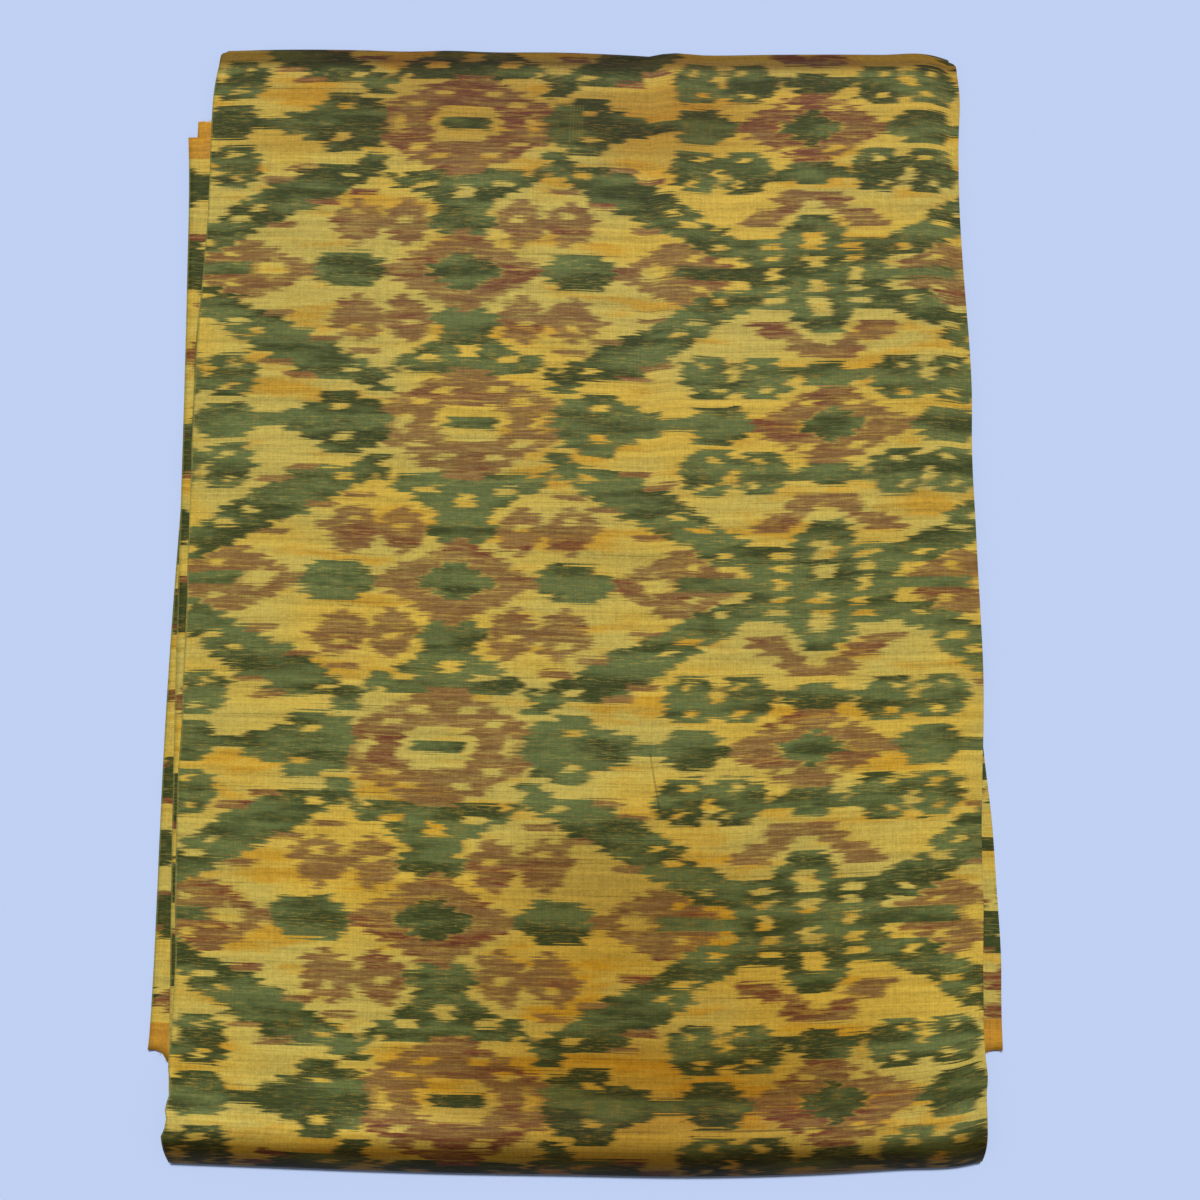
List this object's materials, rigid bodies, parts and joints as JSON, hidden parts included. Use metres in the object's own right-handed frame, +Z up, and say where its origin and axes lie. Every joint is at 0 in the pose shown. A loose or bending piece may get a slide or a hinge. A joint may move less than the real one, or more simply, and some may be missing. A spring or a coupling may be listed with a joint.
{
  "type": "folded ikat woven cloth",
  "caption": "Folded length of weft-ikat silk for a wrap skirt, lying flat, with green and russet motifs on golden yellow.",
  "frame": {"origin": "middle of the bounding box in plan, on the surface that the folded cloth lies on", "axes": "+X across the doubled cloth from its selvedges to its doubling fold, +Y along its length from the bottom fold to the top fold, +Z up"},
  "size_m": [0.5315, 0.7311, 0.0098],
  "materials": {
    "ikat_silk": "handwoven silk with a soft sheen, golden yellow with green and russet weft ikat"
  },
  "bodies": {
    "root": {"folded_cloth": "ikat_silk"}
  },
  "joints": []
}
